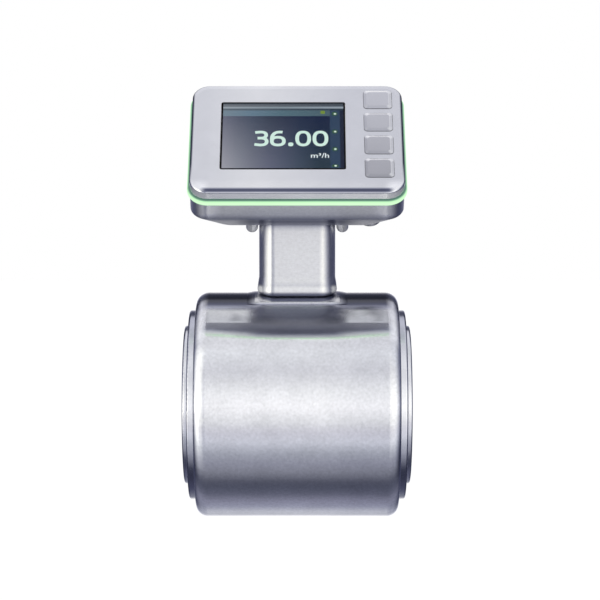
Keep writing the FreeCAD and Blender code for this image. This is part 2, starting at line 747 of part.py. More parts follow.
def front_bezel():
    """Face frame with the window seat, key openings and bosses for the cover screws."""
    body = plate("front_bezel", inset("0"), "0", "bezel_depth")
    doc.recompute()
    slab = body.Tip
    crown = body.newObject("PartDesign::Chamfer", "front_bezel_crown")
    level = level_at("0")
    crown.Base = (slab, [f"Edge{index}" for index, edge in enumerate(slab.Shape.Edges, start=1) if level(edge)])
    crown.ChamferType = "Two distances"
    bind(crown, "Size", "crown_drop")
    bind(crown, "Size2", "crown_width")
    fillet(body, "front_edges", crown, "bezel_round", level_at("-crown_drop"))
    rear = new_sketch(body, "rear", lift="-bezel_front")
    draw_box(rear, *inset("bezel_rim", "rim_corner"))
    pocket(body, "rear_hollow", rear)
    seat = new_sketch(body, "window_seat")
    draw_box(seat, *window_inset("0", "window_corner"))
    pocket(body, "seat", seat, GLASS_SEAT)
    sight = new_sketch(body, "window_sight")
    draw_box(sight, *window_inset("window_ledge", "window_corner/2"))
    pocket(body, "sight", sight)
    openings = new_sketch(body, "key_openings")
    for across, up in key_places():
        draw_box(openings, "key_width", KEY_HEIGHT, "key_corner", across, up)
    pocket(body, "key_holes", openings)
    bosses = new_sketch(body, "boss_spots", lift=f"-{BOSS_END}")
    screw_spots(bosses, "pillar_radius")
    pad(body, "bosses", bosses, f"{BOSS_END} - bezel_front/2")
    screws = new_sketch(body, "screw_spots", lift=f"-({BOSS_END} - screw_bite - seat_gap)")
    screw_spots(screws, "screw_radius + pin_gap")
    pocket(body, "screw_holes", screws, "screw_bite*2")


def display_window():
    outline = window_inset("window_gap", "window_corner - window_gap")
    plate("display_window", outline, "0", "window_glass")
    plate("window_bond", outline, "window_glass", GLASS_SEAT, window_inset("window_ledge", "window_corner/2"))


def display_module():
    """Display panel in its holder on the display board, with the key switches."""
    plate("lcd_panel", window_inset("panel_side", "window_corner/2"), PANEL_FRONT,
          f"{PANEL_FRONT} + panel_depth")
    plate("lcd_holder", window_inset("panel_side - holder_rim", "window_corner"), PANEL_FRONT,
          f"{BOARD_FRONT} - pin_gap", window_inset("panel_side - pin_gap", "window_corner/2"))
    board = plate("display_board", inset("bezel_rim + board_margin", "rim_corner"), BOARD_FRONT, "board_rear")
    notches = new_sketch(board, "boss_holes", lift=f"-{BOARD_FRONT}")
    screw_spots(notches, "pillar_radius + key_gap")
    pocket(board, "boss_clearance", notches)
    switches = new_body("key_switches", in_head=True, several=True)
    bases = new_sketch(switches, "bases", lift=f"-{BOARD_FRONT}")
    buttons = new_sketch(switches, "buttons", lift=f"-{SWITCH_FRONT}")
    for across, up in key_places():
        draw_box(bases, "switch_side", "switch_side", "edge_round/2", across, up)
        draw_circle(buttons, "switch_button", across, up)
    pad(switches, "blocks", bases, "switch_body")
    pad(switches, "plungers", buttons, "key_slack")


def ring_leds():
    """Side-looking lamps round the display board that light the ring."""
    body = new_body("ring_leds", in_head=True, several=True)
    spots = new_sketch(body, "spots", lift=f"-{BOARD_FRONT}")
    side = "(face_height/2 - bezel_rim - board_margin - led_width)"
    end = "(face_width/2 - bezel_rim - board_margin - led_width)"
    across, up = "(face_width/2 - led_inset)", "(face_height/2 - led_inset)"
    for sign in ("", "-"):
        for place in (f"-{across}", "0", across):
            draw_box(spots, "led_length", "led_width", "led_width/4", place, sign + side)
        for place in (f"-{up}", up):
            draw_box(spots, "led_width", "led_length", "led_width/4", sign + end, place)
    pad(body, "blocks", spots, "led_depth")


def key(index, across, up):
    """Push key with bevelled edges, a lip that holds it behind the bezel and a stem to its switch."""
    body = new_body(f"key_{index}", in_head=True)
    face = new_sketch(body, "face", lift=f"-{LIP_FRONT}")
    draw_box(face, "key_width - 2*key_gap", f"{KEY_HEIGHT} - 2*key_gap", "key_corner - key_gap", across, up)
    pad(body, "cap", face, f"{LIP_FRONT} + key_proud - key_slope")
    foot = new_sketch(body, "bevel_foot", lift="key_proud - key_slope")
    draw_box(foot, "key_width - 2*key_gap", f"{KEY_HEIGHT} - 2*key_gap", "key_corner - key_gap", across, up)
    top = new_sketch(body, "bevel_top", lift="key_proud")
    margin = "(key_gap + key_bevel)"
    draw_box(top, f"key_width - 2*{margin}", f"{KEY_HEIGHT} - 2*{margin}", "key_corner - key_gap", across, up)
    bevel = body.newObject("PartDesign::AdditiveLoft", f"key_{index}_bevel")
    bevel.Profile = foot
    bevel.Sections = [top]
    fillet(body, "face_edges", bevel, "key_round", level_at("key_proud"))
    lip = new_sketch(body, "lip", lift=f"-{LIP_BACK}")
    draw_box(lip, "key_width + 2*key_lip", f"{KEY_HEIGHT} + 2*key_lip", "key_corner + key_lip", across, up)
    pad(body, "lip_plate", lip, "key_lip_depth")
    stem = new_sketch(body, "stem", lift=f"-{STEM_BACK}")
    draw_circle(stem, "key_stem", across, up)
    pad(body, "stem_rod", stem, f"{STEM_BACK} - {LIP_BACK}")


def rear_electronics():
    """Main board on its standoffs, with the power converter and the loom's plug."""
    board = plate("main_board", back_inset("shell_wall + board_margin"), MAIN_FRONT, MAIN_BACK)
    notches = new_sketch(board, "pillar_holes", lift=f"-{MAIN_FRONT}")
    screw_spots(notches, "pillar_radius + key_gap")
    pocket(board, "pillar_clearance", notches)
    standoffs = new_body("board_standoffs", in_head=True, several=True)
    spots = new_sketch(standoffs, "spots", lift=f"-{SHELL_FLOOR} + pin_gap")
    for side in ("", "-"):
        for up in (f"{SCREW_LOW} + standoff_up", f"{SCREW_HIGH} - standoff_up"):
            draw_circle(spots, "standoff_radius", f"{side}(screw_across/2 + standoff_across)", up)
    pad(standoffs, "posts", spots, "main_board_back - 2*pin_gap")
    plate("power_module", ("power_width", "power_height", "edge_round", "-(power_width/2 + power_space)"),
          f"{MAIN_FRONT} - pin_gap - power_depth", f"{MAIN_FRONT} - pin_gap")
    plate("loom_plug", ("plug_width", "plug_height", "edge_round/2", "0", LOOM_UP),
          f"{MAIN_BACK} + pin_gap", PLUG_BACK)


def cover_fastening():
    """Dome-headed cover screws and their sealing washers, at the corners of a rectangle."""
    under = f"(-{SHELL_BACK} - screw_seal)"
    tip = f"(-{BOSS_END} + screw_bite)"
    end = f"({under} - screw_head_length)"
    screws = new_body("cover_screws", in_head=True, several=True)
    profile = new_sketch(screws, "profile", "XZ_Plane", across="-screw_across/2", lift=f"-{SCREW_LOW}")
    draw_polygon(profile, [("0", end), ("screw_head", end), ("screw_head", under), ("screw_radius", under),
                           ("screw_radius", tip), ("0", tip)])
    turned = revolve(screws, "turned", profile, (profile, ["V_Axis"]))
    dome = fillet(screws, "dome", turned, "screw_head - pin_gap", level_at(end))
    seals = new_body("cover_screw_seals", in_head=True, several=True)
    washer = new_sketch(seals, "washer", across="-screw_across/2", up=SCREW_LOW, lift=under)
    draw_circle(washer, "screw_seal_radius")
    draw_circle(washer, "screw_radius + pin_gap")
    ring = pad(seals, "ring", washer, "screw_seal")
    for body, originals in ((screws, [turned, dome]), (seals, [ring])):
        doc.recompute()
        pattern = body.newObject("PartDesign::LinearPattern", f"{body.Name}_corners")
        pattern.TransformMode = "Whole shape"
        pattern.Direction = body_axis(body, "X_Axis")
        pattern.Direction2 = body_axis(body, "Y_Axis")
        bind(pattern, "Length", "screw_across")
        bind(pattern, "Length2", f"{SCREW_HIGH} - {SCREW_LOW}")
        pattern.Occurrences = 2
        pattern.Occurrences2 = 2
        body.Tip = pattern


def cable_socket():
    """Round cable socket on the back of the head: shell, seal, nut, insert and contacts."""
    outer = f"({SHELL_BACK} + socket_length)"
    flange_front = f"({SHELL_BACK} + socket_seal)"
    nut_front = f"({SHELL_FLOOR} - pin_gap - socket_nut)"
    shell = new_body("socket_shell", in_head=True)
    barrel = new_sketch(shell, "barrel", lift=f"-{outer}")
    draw_circle(barrel, "socket_radius", *SOCKET_PLACE)
    pad(shell, "rod", barrel, f"{outer} - {nut_front} + edge_round")
    hexagon = new_sketch(shell, "hexagon", lift=f"-{flange_front}")
    draw_hexagon(hexagon, "socket_flats", *SOCKET_PLACE)
    pad(shell, "collar", hexagon, "socket_flange").Reversed = True
    bore = new_sketch(shell, "bore", lift=f"-{outer}")
    draw_circle(bore, "socket_bore", *SOCKET_PLACE)
    pocket(shell, "mouth", bore, "socket_bore_depth", forward=True)
    seal = new_body("socket_seal", in_head=True)
    washer = new_sketch(seal, "washer", lift=f"-{flange_front}")
    draw_circle(washer, "socket_flats/2 - edge_round/2", *SOCKET_PLACE)
    draw_circle(washer, "socket_radius + pin_gap", *SOCKET_PLACE)
    pad(seal, "ring", washer, "socket_seal")
    nut = new_body("socket_nut", in_head=True)
    prism = new_sketch(nut, "prism", lift=f"-({SHELL_FLOOR} - pin_gap)")
    draw_hexagon(prism, "socket_nut_flats", *SOCKET_PLACE)
    draw_circle(prism, "socket_radius + pin_gap", *SOCKET_PLACE)
    pad(nut, "block", prism, "socket_nut")
    insert = new_body("socket_insert", in_head=True)
    disc = new_sketch(insert, "disc", lift=f"-({outer} - contact_length)")
    draw_circle(disc, "socket_bore - pin_gap", *SOCKET_PLACE)
    spread = "contact_circle/2*cos(45)"
    spots = [(f"{SOCKET_PLACE[0]} {across} {spread}", f"{SOCKET_PLACE[1]} {up} {spread}")
             for across in ("+", "-") for up in ("+", "-")]
    for spot in spots:
        draw_circle(disc, "contact_radius + pin_gap", *spot)
    pad(insert, "block", disc, "socket_bore_depth - contact_length - pin_gap")
    contacts = new_body("socket_contacts", in_head=True, several=True)
    pins = new_sketch(contacts, "pins", lift=f"-({outer} - edge_round/2)")
    for spot in spots:
        draw_circle(pins, "contact_radius", *spot)
    pad(contacts, "rods", pins, "socket_bore_depth - edge_round")


drum_shell()
end_flange("end_flange_right", 0)
end_flange("end_flange_left", 180)
measuring_tube()
liner()
electrode("front", 0)
electrode("rear", 180)
magnet("upper", 0)
magnet("lower", 180)
field_yoke()
sensor_module()
signal_loom()
head_housing()
gasket_frame("housing_gasket", RING_BACK, SHELL_FRONT)
light_ring()
gasket_frame("bezel_gasket", "bezel_depth", RING_FRONT)
front_bezel()
display_window()
display_module()
ring_leds()
for number_of_key, (key_x, key_y) in enumerate(key_places(), start=1):
    key(number_of_key, key_x, key_y)
rear_electronics()
cover_fastening()
cable_socket()
doc.recompute()

for item in doc.Objects:
    faults = [state for state in item.State if state in ("Invalid", "Error")]
    if faults:
        raise SystemExit(f"{item.Label} did not rebuild: {faults}")
for piece in PARTS:
    if piece.Shape.isNull() or not piece.Shape.isValid() or not piece.Shape.Solids:
        raise SystemExit(f"{piece.Label} has no valid solid")

os.makedirs("parts", exist_ok=True)
for piece in PARTS:
    piece.Shape.exportStep(f"parts/{piece.Label}.step")
print(len(PARTS), "pieces written")
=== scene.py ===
"""Looks of the electromagnetic flow meter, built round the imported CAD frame.

Lengths are metres. The head's own axes are U across the display, V up it and N
out of it; they and every place on the head are read from the frame.
"""
import json
import math

import bpy
from mathutils import Matrix, Vector


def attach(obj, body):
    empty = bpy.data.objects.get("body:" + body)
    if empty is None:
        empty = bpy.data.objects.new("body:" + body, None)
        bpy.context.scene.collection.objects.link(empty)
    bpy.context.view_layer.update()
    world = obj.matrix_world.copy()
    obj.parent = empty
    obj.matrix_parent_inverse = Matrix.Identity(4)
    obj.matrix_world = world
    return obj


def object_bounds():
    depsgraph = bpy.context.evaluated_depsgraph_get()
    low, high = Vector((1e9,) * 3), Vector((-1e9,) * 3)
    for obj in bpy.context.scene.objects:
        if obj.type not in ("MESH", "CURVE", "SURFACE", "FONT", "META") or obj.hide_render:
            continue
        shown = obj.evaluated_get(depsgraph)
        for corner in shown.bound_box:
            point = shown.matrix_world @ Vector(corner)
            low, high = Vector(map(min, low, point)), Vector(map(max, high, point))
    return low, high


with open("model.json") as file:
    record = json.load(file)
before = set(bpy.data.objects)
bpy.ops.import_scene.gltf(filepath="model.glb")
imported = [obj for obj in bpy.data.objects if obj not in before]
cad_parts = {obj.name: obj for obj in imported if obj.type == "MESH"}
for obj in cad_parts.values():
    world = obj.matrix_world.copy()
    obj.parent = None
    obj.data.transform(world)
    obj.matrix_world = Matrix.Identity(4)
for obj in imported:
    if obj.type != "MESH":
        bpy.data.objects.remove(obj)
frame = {"nodes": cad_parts, "record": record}
CAD_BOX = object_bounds()

MM = 0.001
NODES = frame["nodes"]
MOUNTS = {mount["name"]: mount for mount in frame["record"]["mounts"]}

# ------------------------------------------------------------------ head axes

HEAD_U = Vector((1, 0, 0))
HEAD_N = -Vector(MOUNTS["cable_socket"]["axis"]).normalized()
HEAD_V = HEAD_N.cross(HEAD_U)


def head_box(node):
    """Lowest and highest reach of a CAD node along the head's axes U, V and N."""
    spots = [vertex.co for vertex in NODES[node].data.vertices]
    reach = [[spot.dot(axis) for spot in spots] for axis in (HEAD_U, HEAD_V, HEAD_N)]
    return Vector([min(values) for values in reach]), Vector([max(values) for values in reach])


def head_point(u, v, n):
    return HEAD_U*u + HEAD_V*v + HEAD_N*n


def head_matrix(u, v, n):
    """Places an object drawn in XY so that it lies on the head's face at (u, v, n)."""
    turned = Matrix((HEAD_U, HEAD_V, HEAD_N)).transposed().to_4x4()
    return Matrix.Translation(head_point(u, v, n)) @ turned


# ------------------------------------------------------------------ node helpers

class Nodes:
    """Builds a shader tree in few words."""

    def __init__(self, tree):
        self.tree = tree
        tree.nodes.clear()

    def add(self, kind, **settings):
        node = self.tree.nodes.new(kind)
        for name, value in settings.items():
            setattr(node, name, value)
        return node

    def link(self, source, target):
        self.tree.links.new(source, target)

    def feed(self, socket, value):
        """Link a socket, or set it to a constant."""
        if isinstance(value, bpy.types.NodeSocket):
            self.link(value, socket)
        else:
            socket.default_value = value

    def maths(self, operation, *values):
        node = self.add("ShaderNodeMath", operation=operation)
        for socket, value in zip(node.inputs, values):
            self.feed(socket, value)
        return node.outputs[0]

    def product(self, *values):
        result = values[0]
        for value in values[1:]:
            result = self.maths("MULTIPLY", result, value)
        return result

    def rest(self, share):
        """What a share leaves of one."""
        return self.maths("SUBTRACT", 1.0, share)

    def blend(self, first, second, share):
        """Two tones added: a share of the first and the rest of the second."""
        return self.maths("ADD", self.product(first, share), self.product(second, 1 - share))

    def vector(self, x, y, z):
        node = self.add("ShaderNodeCombineXYZ")
        for socket, value in zip(node.inputs, (x, y, z)):
            self.feed(socket, value)
        return node.outputs[0]

    def split(self, vector):
        node = self.add("ShaderNodeSeparateXYZ")
        self.link(vector, node.inputs[0])
        return node.outputs

    def scaled(self, vector, factors):
        """A vector with each of its parts multiplied by its own factor."""
        return self.vector(*[self.product(part, factor) for part, factor in zip(self.split(vector), factors)])

    def vector_maths(self, operation, *vectors):
        node = self.add("ShaderNodeVectorMath", operation=operation)
        for socket, value in zip(node.inputs, vectors):
            self.feed(socket, value)
        return node.outputs["Value" if operation == "DOT_PRODUCT" else "Vector"]

    def place(self):
        return self.add("ShaderNodeTexCoord").outputs["Object"]

    def normal(self):
        return self.add("ShaderNodeNewGeometry").outputs["Normal"]

    def along(self, axis):
        """Distance of the shaded spot along an axis through the origin."""
        return self.vector_maths("DOT_PRODUCT", self.place(), axis)

    def facing(self, axis):
        """How far the surface faces along an axis."""
        return self.vector_maths("DOT_PRODUCT", self.normal(), axis)

    def remap(self, value, low, high, to_low=0.0, to_high=1.0, smooth=False):
        node = self.add("ShaderNodeMapRange", interpolation_type="SMOOTHSTEP" if smooth else "LINEAR")
        for name, given in (("Value", value), ("From Min", low), ("From Max", high),
                            ("To Min", to_low), ("To Max", to_high)):
            self.feed(node.inputs[name], given)
        return node.outputs[0]

    def rising(self, value, start, end, top=1.0):
        """Nothing before the start, the top level past the end, and a smooth step between them."""
        return self.remap(value, start, end, 0.0, top, smooth=True)

    def falling(self, value, start, end, top=1.0):
        """The top level before the start, nothing past the end, and a smooth step between them."""
        return self.remap(value, start, end, top, 0.0, smooth=True)

    def wavering(self, tone, middle, share):
        """A value that a noise moves by a share below and above its middle."""
        return self.remap(tone, 0.3, 0.7, middle*(1 - share), middle*(1 + share))

    def noise(self, vector, scale, detail=2.0, roughness=0.5):
        node = self.add("ShaderNodeTexNoise")
        self.link(vector, node.inputs["Vector"])
        node.inputs["Scale"].default_value = scale
        node.inputs["Detail"].default_value = detail
        node.inputs["Roughness"].default_value = roughness
        return node.outputs["Fac"]

    def ramp(self, value, stops, interpolation="LINEAR"):
        """Colour by value, through (position, linear colour) stops."""
        node = self.add("ShaderNodeValToRGB")
        self.feed(node.inputs[0], value)
        ramp = node.color_ramp
        ramp.interpolation = interpolation
        while len(ramp.elements) < len(stops):
            ramp.elements.new(0.5)
        for element, (position, colour) in zip(ramp.elements, stops):
            element.position = position
            element.color = (*colour[:3], 1)
        return node.outputs[0]

    def mottled(self, tone, colour, low, high):
        """A colour that a noise makes darker and lighter, by a factor each way."""
        return self.ramp(tone, [(0.32, shade(colour, low)), (0.68, shade(colour, high))])

    def levels(self, value, stops):
        """Cool grey by a length, through (millimetres, level) stops."""
        base, end = stops[0][0]*MM, stops[-1][0]*MM
        return self.ramp(self.remap(value, base, end),
                         [((spot*MM - base)/(end - base), cool(level)) for spot, level in stops])

    def mix(self, amount, first, second, blend="MIX"):
        node = self.add("ShaderNodeMix", data_type="RGBA", blend_type=blend)
        self.feed(node.inputs[0], amount)
        self.feed(node.inputs[6], first)
        self.feed(node.inputs[7], second)
        return node.outputs[2]

    def toned(self, surface, *tones):
        """A surface colour multiplied by tones."""
        for tone in tones:
            surface = self.mix(1.0, surface, tone, "MULTIPLY")
        return surface

    def bump(self, height, distance, strength=1.0, normal=None):
        node = self.add("ShaderNodeBump")
        self.link(height, node.inputs["Height"])
        if normal:
            self.link(normal, node.inputs["Normal"])
        node.inputs["Distance"].default_value = distance
        node.inputs["Strength"].default_value = strength
        return node.outputs[0]


def linear(hexadecimal):
    """Linear colour of a six-digit sRGB code."""
    values = [int(hexadecimal[index:index + 2], 16)/255 for index in (0, 2, 4)]
    return tuple(value/12.92 if value <= 0.04045 else ((value + 0.055)/1.055)**2.4 for value in values)


def shade(colour, amount):
    return tuple(min(1.0, part*amount) for part in colour)


def cool(amount):
    """A grey of a level, bluer the darker it is."""
    return amount**1.15, amount**1.11, amount**0.88


def grey(level):
    """A plain grey with its alpha, for a colour socket."""
    return level, level, level, 1


def new_material(name):
    material = bpy.data.materials.new(name)
    material.use_nodes = True
    return material, Nodes(material.node_tree)


def principled(nodes, **inputs):
    """The material's one shader, its sockets fed by name."""
    shader = nodes.add("ShaderNodeBsdfPrincipled")
    for name, value in inputs.items():
        nodes.feed(shader.inputs[name.replace("_", " ")], value)
    output = nodes.add("ShaderNodeOutputMaterial")
    nodes.link(shader.outputs[0], output.inputs["Surface"])
    return shader


# ------------------------------------------------------------------ metals

# Noises shared by the steels: scale, detail and roughness.
GRAIN_NOISE = (1.0, 3.0, 0.6)
MOTTLE_NOISE = (620.0, 3.0, 0.6)
CLOUD_NOISE = (90.0, 3.0)

# Distances from the meter's middle between which a zone of the drum comes in or fades out; all but the flat
# rim are zones of painted shade and light.
BESIDE_PAD = (18*MM, 26*MM)
BESIDE_FOOT = (21*MM, 27*MM)
PATCH_END = (43.5*MM, 47.5*MM)
DRUM_RIM = (44*MM, 48.5*MM)
FLAT_RIM = (45.5*MM, 47.5*MM)
RIM_FLATNESS = 0.45          # how much of its lean along the flow axis a rim keeps

# Heights above the flow axis between which the painted light (less metal, so diffuse light shows) comes in or
# fades out: patches, their bright lower line and a faint band in front.
PATCH_LOWER = (43.7*MM, 44.6*MM)
PATCH_UPPER = (48.8*MM, 51.0*MM)
LINE_LOWER = (43.7*MM, 44.3*MM)
LINE_UPPER = (44.7*MM, 45.5*MM)
BAND_LOWER = (36.5*MM, 39.5*MM)
BAND_UPPER = (44.0*MM, 46.0*MM)

# The swelling: angles above the level front where it comes in and fades out, and its lean by distance.
SWELL_START = (math.radians(33), math.radians(42))
SWELL_END = (math.radians(46), math.radians(60))
SWELL_REACH = (8*MM, 46*MM)
SWELL_LEAN = (0.17, 0.10)

THREAD_PITCH = 1.0*MM
THREAD_DEPTH = 0.25*MM
THREAD_START = (0.5*MM, 1.0*MM)     # from the socket's free end
THREAD_END = (8.0*MM, 8.6*MM)

KEY_LEVELS = (0.53, 0.76)           # painted shade: how bright the lowest and the highest key are painted
KEY_BEVEL = (0.06, 0.20)            # how far the surface turns from the key's face to its bevel, where the painted highlight comes in
CASTING_GRAIN = (0.0, -0.38, 0.92)  # direction in which the casting draws out what it mirrors


def turned_steel(name, colour, roughness, streak=1.0, anisotropy=0.9, shading=None, tilt=None,
                 painted_lift=None):
    """Steel ground round the flow axis: fine rings that blur what it mirrors along the axis only.

    Shading is a function that paints shade and light into the colour, tilt one that leans the surface, and
    the last one tells how far the steel turns from metal to diffuse, which paints light in.
    """
    material, nodes = new_material(name)
    x, y, z = nodes.split(nodes.place())
    angle = nodes.maths("ARCTAN2", y, z)
    fine = nodes.noise(nodes.vector(nodes.product(x, 5200.0), nodes.product(angle, 5.0), 0.0), 1.0, 3.0, 0.65)
    mottle = nodes.noise(nodes.place(), *MOTTLE_NOISE)
    broad = nodes.noise(nodes.place(), 75.0, 2.0)
    surface = nodes.mottled(nodes.blend(mottle, broad, 0.6), colour, 1 - 0.07*streak, 1 + 0.05*streak)
    # Shade and light painted into the colour, and less metal where diffuse light is painted in.
    if shading:
        surface = nodes.toned(surface, shading(nodes, x, z))
    shader = principled(nodes, Base_Color=surface,
                        Metallic=nodes.rest(painted_lift(nodes, x, z)) if painted_lift else 1.0,
                        Anisotropic=anisotropy, Anisotropic_Rotation=0.25,
                        Roughness=nodes.wavering(fine, roughness, 0.1),
                        Normal=nodes.bump(mottle, 0.011*MM, min(1.0, streak),
                                          tilt(nodes, x, y, z) if tilt else None))
    tangent = nodes.add("ShaderNodeTangent", direction_type="RADIAL", axis="X")
    nodes.link(tangent.outputs[0], shader.inputs["Tangent"])
    return material


def drum_shading(nodes, x, z):
    """Painted shade and reflections on the drum: dark bands across its crown, darkest beside the pad, a
    painted highlight on its rims, and its right end painted a little darker.
    """
    beside = nodes.levels(z, [(38.0, 1.0), (39.4, 0.9), (41.0, 0.60), (43.5, 0.8), (49.5, 0.95),
                              (50.8, 0.5), (52.3, 0.10), (53.5, 0.03), (57.0, 0.03)])
    middle = nodes.levels(z, [(36.2, 1.0), (37.6, 0.9), (39.0, 0.60), (43.0, 0.8), (46.5, 0.45),
                              (50.0, 0.36), (52.5, 0.7), (53.6, 1.0), (58.0, 1.1)])
    away = nodes.maths("ABSOLUTE", x)
    crown = nodes.mix(nodes.rising(away, *BESIDE_PAD), middle, beside)
    rimmed = nodes.mix(nodes.rising(away, *DRUM_RIM), crown, grey(1.1))
    sweep = nodes.levels(x, [(-50.0, 0.99), (-10.0, 0.98), (12.0, 0.98), (32.0, 0.92), (50.0, 0.92)])
    return nodes.toned(rimmed, sweep)


def disc_shading(nodes, x, z):
    """Painted shade and reflection on the end discs: darker at top and bottom, alike at every distance along
    the flow axis.
    """
    return nodes.levels(z, [(-57.0, 0.12), (-38.0, 0.22), (-28.0, 0.5), (-19.0, 1.0), (24.0, 1.0),
                            (38.0, 0.7), (46.0, 0.45), (57.0, 0.4)])


def drum_painted_lift(nodes, x, z):
    """Painted light, where the steel turns partly from metal to diffuse: two uneven patches beside the neck's
    foot with a bright lower line, and a faint band in front.
    """
    away = nodes.maths("ABSOLUTE", x)
    sides = nodes.product(nodes.rising(away, *BESIDE_FOOT), nodes.falling(away, *PATCH_END))
    uneven = nodes.remap(nodes.noise(nodes.place(), 70.0, 1.0), 0.40, 0.60, 0.35, 0.95)
    patch = nodes.product(uneven, sides, nodes.rising(z, *PATCH_LOWER), nodes.falling(z, *PATCH_UPPER))
    line = nodes.product(sides, nodes.rising(z, *LINE_LOWER), nodes.falling(z, *LINE_UPPER, 0.9))
    band = nodes.product(nodes.rising(z, *BAND_LOWER), nodes.falling(z, *BAND_UPPER, 0.12))
    return nodes.maths("MAXIMUM", line, nodes.maths("ADD", patch, band))


def drum_tilt(nodes, x, y, z):
    """The drum swells a little under the neck, most in its middle. Its rims are flatter than round."""
    away = nodes.maths("ABSOLUTE", x)
    rise = nodes.maths("ARCTAN2", z, nodes.product(y, -1.0))
    lean = nodes.product(nodes.rising(rise, *SWELL_START), nodes.falling(rise, *SWELL_END),
                         nodes.remap(away, *SWELL_REACH, *SWELL_LEAN, smooth=True))
    upward = nodes.vector(0.0, nodes.product(nodes.maths("SINE", rise), lean),
                          nodes.product(nodes.maths("COSINE", rise), lean))
    flatness = nodes.vector(nodes.remap(away, *FLAT_RIM, 1.0, RIM_FLATNESS), 1.0, 1.0)
    flatter = nodes.vector_maths("MULTIPLY", nodes.normal(), flatness)
    return nodes.vector_maths("NORMALIZE", nodes.vector_maths("ADD", flatter, upward))


def satin_steel(name, colour, roughness, grain=(900.0, 5200.0, 5200.0), streak=1.0, metallic=1.0):
    """Satin steel with a short fine grain."""
    material, nodes = new_material(name)
    fine = nodes.noise(nodes.scaled(nodes.place(), grain), *GRAIN_NOISE)
    cloud = nodes.noise(nodes.place(), *CLOUD_NOISE)
    surface = nodes.mottled(nodes.blend(fine, cloud, 0.45), colour, 1 - 0.05*streak, 1 + 0.03*streak)
    principled(nodes, Base_Color=surface, Metallic=metallic, Roughness=nodes.wavering(fine, roughness, 0.08))
    return material


def thread_steel(colour, roughness):
    """Plug socket with a fine thread round its free end."""
    material, nodes = new_material("socket_steel")
    cloud = nodes.noise(nodes.place(), 300.0, 3.0)
    free_end = head_box("socket_shell")[0].z
    depth = nodes.maths("SUBTRACT", nodes.along(HEAD_N), free_end)
    ridge = nodes.maths("SINE", nodes.product(depth, 2*math.pi/THREAD_PITCH))
    length = nodes.product(nodes.remap(depth, *THREAD_START), nodes.remap(depth, *THREAD_END, 1.0, 0.0))
    principled(nodes, Base_Color=nodes.mottled(cloud, colour, 0.94, 1.04), Metallic=1.0,
               Roughness=nodes.wavering(cloud, roughness, 0.08),
               Normal=nodes.bump(nodes.product(ridge, length), THREAD_DEPTH))
    return material


def bezel_steel(colour, roughness):
    """Satin face with painted reflections, brightest left of its middle, lighter at its lower corners and
    with a dark band above a bright line along its lower edge. The wall below is painted lighter in its
    middle, the outer flanks dark, and the wall's lower corners are less metal, so diffuse light paints them
    lighter.
    """
    material, nodes = new_material("bezel_steel")
    fine = nodes.noise(nodes.scaled(nodes.place(), (300.0, 3200.0, 3200.0)), *GRAIN_NOISE)
    cloud = nodes.noise(nodes.place(), *CLOUD_NOISE)
    surface = nodes.mottled(nodes.blend(fine, cloud, 0.55), colour, 0.95, 1.04)
    low, high = head_box("front_bezel")
    x = nodes.along(HEAD_U)
    away = nodes.maths("ABSOLUTE", x)
    up = nodes.maths("SUBTRACT", nodes.along(HEAD_V), low.y)
    # Painted reflections: across the face, at its lower corners, along its lower edge, on the wall below and
    # on the dark outer flanks.
    across = nodes.levels(x, [(-53.0, 0.90), (-46.0, 0.90), (-30.0, 0.97), (-20.0, 1.0), (0.0, 0.94),
                              (22.0, 0.86), (53.0, 0.84)])
    corner = nodes.product(nodes.rising(away, 42*MM, 48*MM), nodes.falling(up, 3*MM, 10*MM))
    face = nodes.mix(corner, across, grey(1.25))
    edge = nodes.levels(up, [(0.0, 1.0), (0.25, 0.85), (0.55, 0.32), (1.0, 0.20), (1.8, 0.16),
                             (2.35, 0.36), (2.9, 0.76), (3.5, 1.06), (4.2, 1.06), (9.0, 1.0)])
    bevel = nodes.mix(nodes.falling(away, 44.5*MM, 48.5*MM), grey(1.0), edge)
    wall = nodes.levels(x, [(-53.0, 0.95), (-30.0, 0.98), (0.0, 1.25), (30.0, 1.22), (53.0, 1.15)])
    crown = nodes.remap(nodes.along(HEAD_N), high.z - 1.3*MM, high.z - 0.7*MM)
    flank = nodes.product(nodes.remap(away, 51.7*MM, 52.4*MM), nodes.remap(up, 8*MM, 20*MM))
    tone = nodes.mix(flank, nodes.mix(crown, wall, nodes.toned(face, bevel)), (*cool(0.10), 1))
    # Less metal at the wall's lower corners, so diffuse light paints them lighter.
    painted_corner_light = nodes.product(nodes.rest(crown), nodes.remap(away, 42.5*MM, 44.5*MM, 0.25, 0.7),
                            nodes.remap(up, 8*MM, 3*MM))
    principled(nodes, Base_Color=nodes.toned(surface, tone), Metallic=nodes.rest(painted_corner_light),
               Anisotropic=0.6, Roughness=nodes.wavering(fine, roughness, 0.1), Tangent=nodes.vector(*HEAD_V))
    return material


def key_steel(colour, roughness):
    """Satin keys with painted shade: each face darker than its upper and right bevels, which carry a painted
    highlight, and the lower keys darker, most the lowest.
    """
    material, nodes = new_material("key_steel")
    fine = nodes.noise(nodes.place(), 2200.0, 3.0, 0.6)
    cloud = nodes.noise(nodes.place(), *CLOUD_NOISE)
    surface = nodes.mottled(nodes.blend(fine, cloud, 0.45), colour, 0.96, 1.03)
    bottom, top = head_box("key_4")[0].y, head_box("key_1")[1].y
    # Painted shade: the lower keys darker, and a painted highlight on each key's upper and right bevels.
    level = nodes.remap(nodes.along(HEAD_V), bottom, top, *KEY_LEVELS)
    face = nodes.vector(level, level, nodes.product(level, 1.05))
    bevel = nodes.maths("MAXIMUM", nodes.remap(nodes.facing(HEAD_V), *KEY_BEVEL),
                        nodes.remap(nodes.facing(HEAD_U), *KEY_BEVEL))
    principled(nodes, Base_Color=nodes.toned(surface, nodes.mix(bevel, face, grey(1.0))), Metallic=1.0,
               Roughness=nodes.wavering(fine, roughness, 0.08))
    return material


